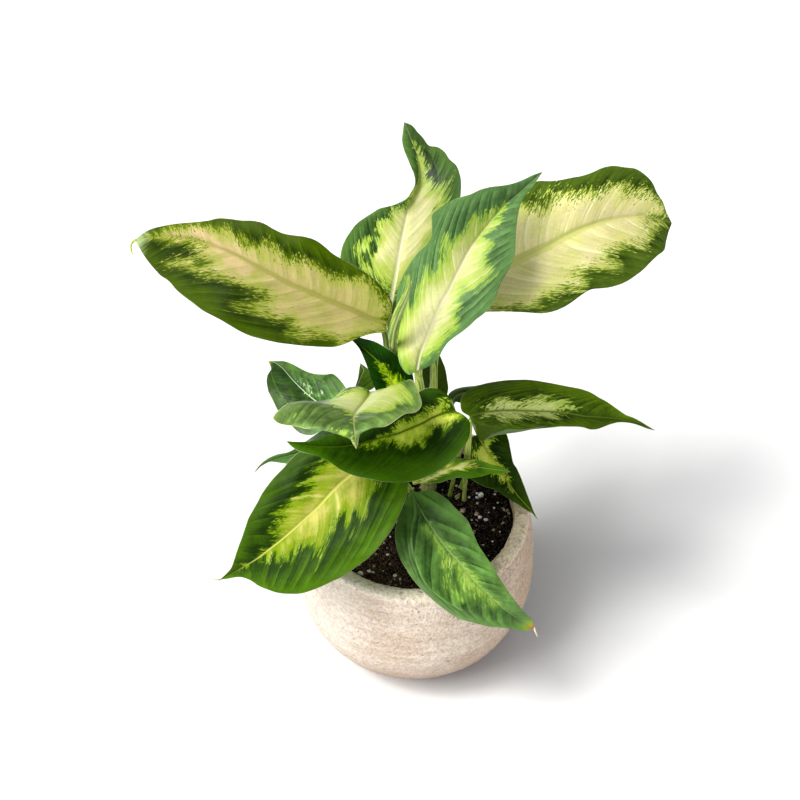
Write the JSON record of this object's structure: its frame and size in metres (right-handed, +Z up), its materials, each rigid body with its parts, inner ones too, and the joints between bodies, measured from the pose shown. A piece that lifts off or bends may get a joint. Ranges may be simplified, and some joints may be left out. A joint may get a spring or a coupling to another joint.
{
  "type": "potted dieffenbachia",
  "caption": "Spreading variegated foliage plant with long-stalked pointed leaves on short canes, in a round cement pot filled with soil.",
  "frame": {"origin": "centre of the pot's flat base, on the surface it stands on", "axes": "+Z up through the middle of the pot, +X to the right and -Y towards the viewer of its best side"},
  "size_m": [0.3362, 0.2572, 0.3329],
  "materials": {
    "cement": "matt cast cement, warm beige, fine grain with small pits and faint level streaks",
    "soil": "moist dark potting mix, crumbly, with white perlite grains",
    "cane": "pale green fleshy cane with leaf-scar rings, satin",
    "leaf_cream": "satin leaf, cream to yellow-green centre with a ragged deep green margin",
    "leaf_green": "satin deep green leaf with a yellow-green splash along the midrib",
    "leaf_new": "rolled young leaf, light green, satin"
  },
  "bodies": {
    "root": {"pot": "cement", "soil": "soil", "cane_main": "cane", "cane_left": "cane", "cane_right": "cane", "cane_back": "cane", "leaf_left_large": "leaf_cream", "leaf_top_back": "leaf_cream", "leaf_centre": "leaf_cream", "leaf_right_large": "leaf_cream", "leaf_left_mid": "leaf_green", "leaf_front_wavy": "leaf_cream", "leaf_front_dark": "leaf_green", "leaf_lower_left": "leaf_cream", "leaf_lower_right": "leaf_green", "leaf_right_mid": "leaf_green", "leaf_right_low": "leaf_green", "leaf_small_right": "leaf_green", "leaf_under_left": "leaf_green", "leaf_left_tip": "leaf_green", "leaf_small_back_left": "leaf_green", "leaf_back_right": "leaf_green", "leaf_back": "leaf_green", "leaf_under_right": "leaf_green", "leaf_new_rolled": "leaf_new"}
  },
  "joints": []
}
